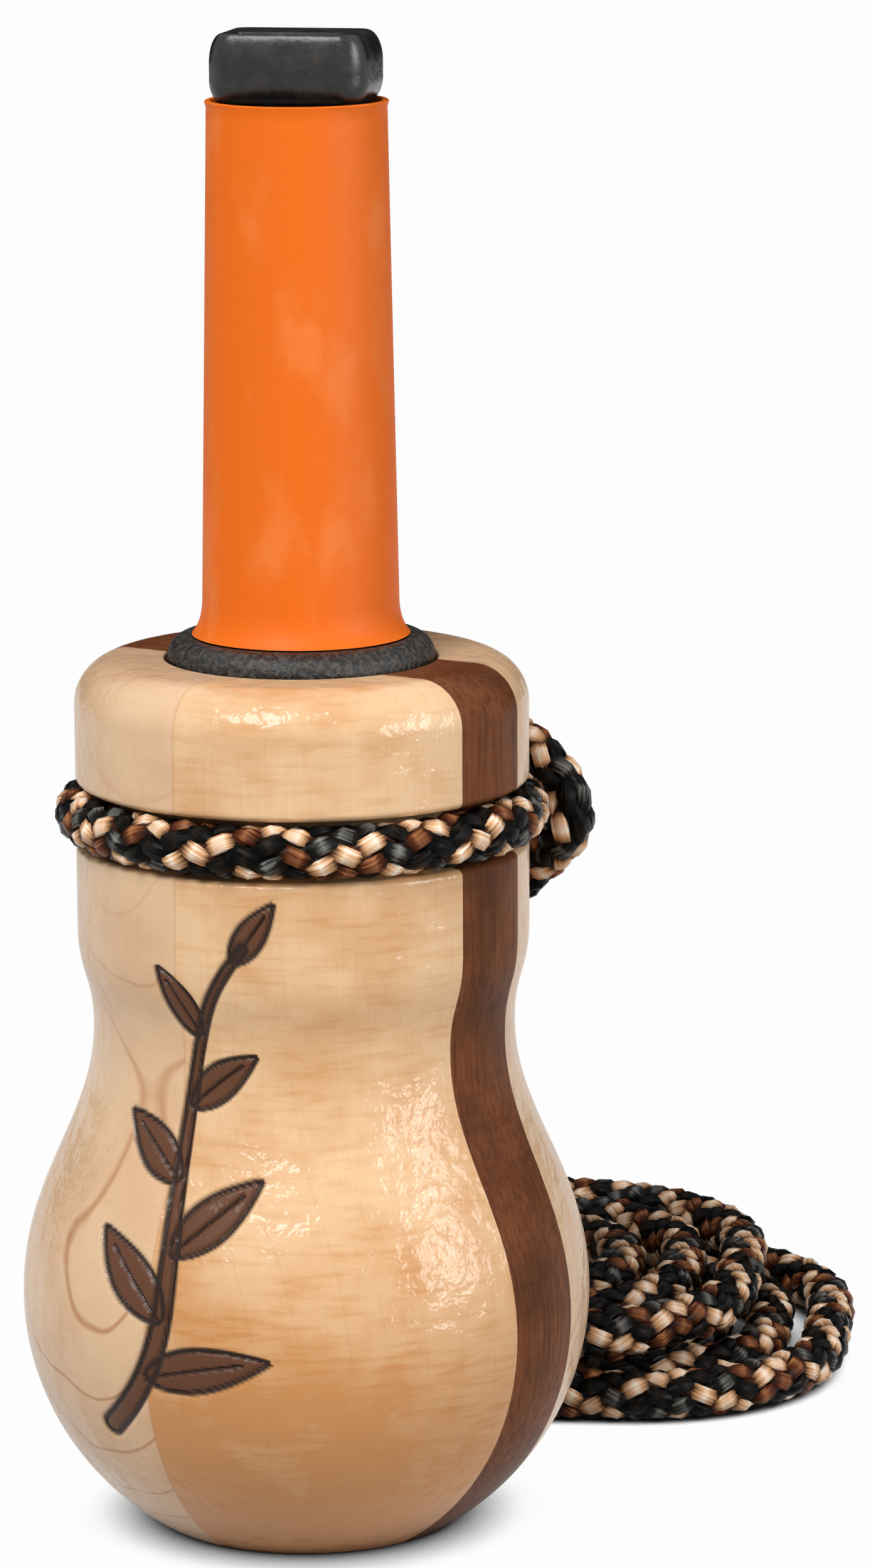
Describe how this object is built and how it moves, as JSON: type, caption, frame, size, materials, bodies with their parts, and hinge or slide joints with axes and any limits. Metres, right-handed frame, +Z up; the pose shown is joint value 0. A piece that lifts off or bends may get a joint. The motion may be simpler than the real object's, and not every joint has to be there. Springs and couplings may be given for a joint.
{
  "type": "elk call",
  "caption": "Turned laminated wood elk call with a push-in reed mouthpiece under an orange bite sleeve, a rubber seat ring and a coiled braided neck lanyard.",
  "frame": {"origin": "middle of the barrel's flat base", "axes": "+Z up along the bore, towards the mouthpiece; the glue planes between the wood blocks are square to X and Y, with the walnut strip along X"},
  "size_m": [0.0803, 0.1099, 0.132],
  "materials": {
    "pale_maple": "gloss lacquer",
    "warm_maple": "gloss lacquer",
    "walnut": "gloss lacquer",
    "seal_rubber": "matte",
    "ring_rubber": "matte",
    "stem_plastic": "gloss",
    "sleeve_latex": "satin",
    "board_plastic": "gloss",
    "wedge_rubber": "matte",
    "reed_film": "gloss",
    "tip_plastic": "gloss",
    "cord_braid": "braided"
  },
  "bodies": {
    "barrel": {"maple_quarter_front_left": "pale_maple", "maple_quarter_front_right": "warm_maple", "maple_quarter_rear_left": "pale_maple", "maple_quarter_rear_right": "pale_maple", "walnut_strip_left": "walnut", "walnut_strip_right": "walnut", "lanyard_groove_loop": "cord_braid", "lanyard_hitch": "cord_braid", "lanyard_leg_inner": "cord_braid", "lanyard_leg_outer": "cord_braid", "lanyard_coil": "cord_braid"},
    "stem_seals": {"stem_seal_lower": "seal_rubber", "stem_seal_upper": "seal_rubber"},
    "mouthpiece": {"mouthpiece_stem": "stem_plastic", "base_ring": "ring_rubber", "bite_sleeve": "sleeve_latex", "tone_board": "board_plastic", "reed_wedge": "wedge_rubber"},
    "reed": {"reed": "reed_film"},
    "tip": {"mouth_tip": "tip_plastic"}
  },
  "joints": [
    {"name": "mouthpiece_pull", "type": "slide", "parent": "barrel", "child": "stem_seals", "axis": [0, 0, 1], "range_m": [0, 0.026]},
    {"name": "mouthpiece_turn", "type": "hinge", "parent": "stem_seals", "child": "mouthpiece", "pos_m": [0, 0, 0.0776], "axis": [0, 0, 1], "continuous": true},
    {"name": "reed_flex", "type": "hinge", "parent": "mouthpiece", "child": "reed", "pos_m": [0.00067, -0.0017, 0.092], "axis": [-0.9298, -0.3681, 0], "range_deg": [0, 2.2], "stiffness_Nm_per_rad": 0.0145},
    {"name": "tip_pull", "type": "slide", "parent": "mouthpiece", "child": "tip", "axis": [0, 0, 1], "range_m": [0, 0.006]}
  ]
}
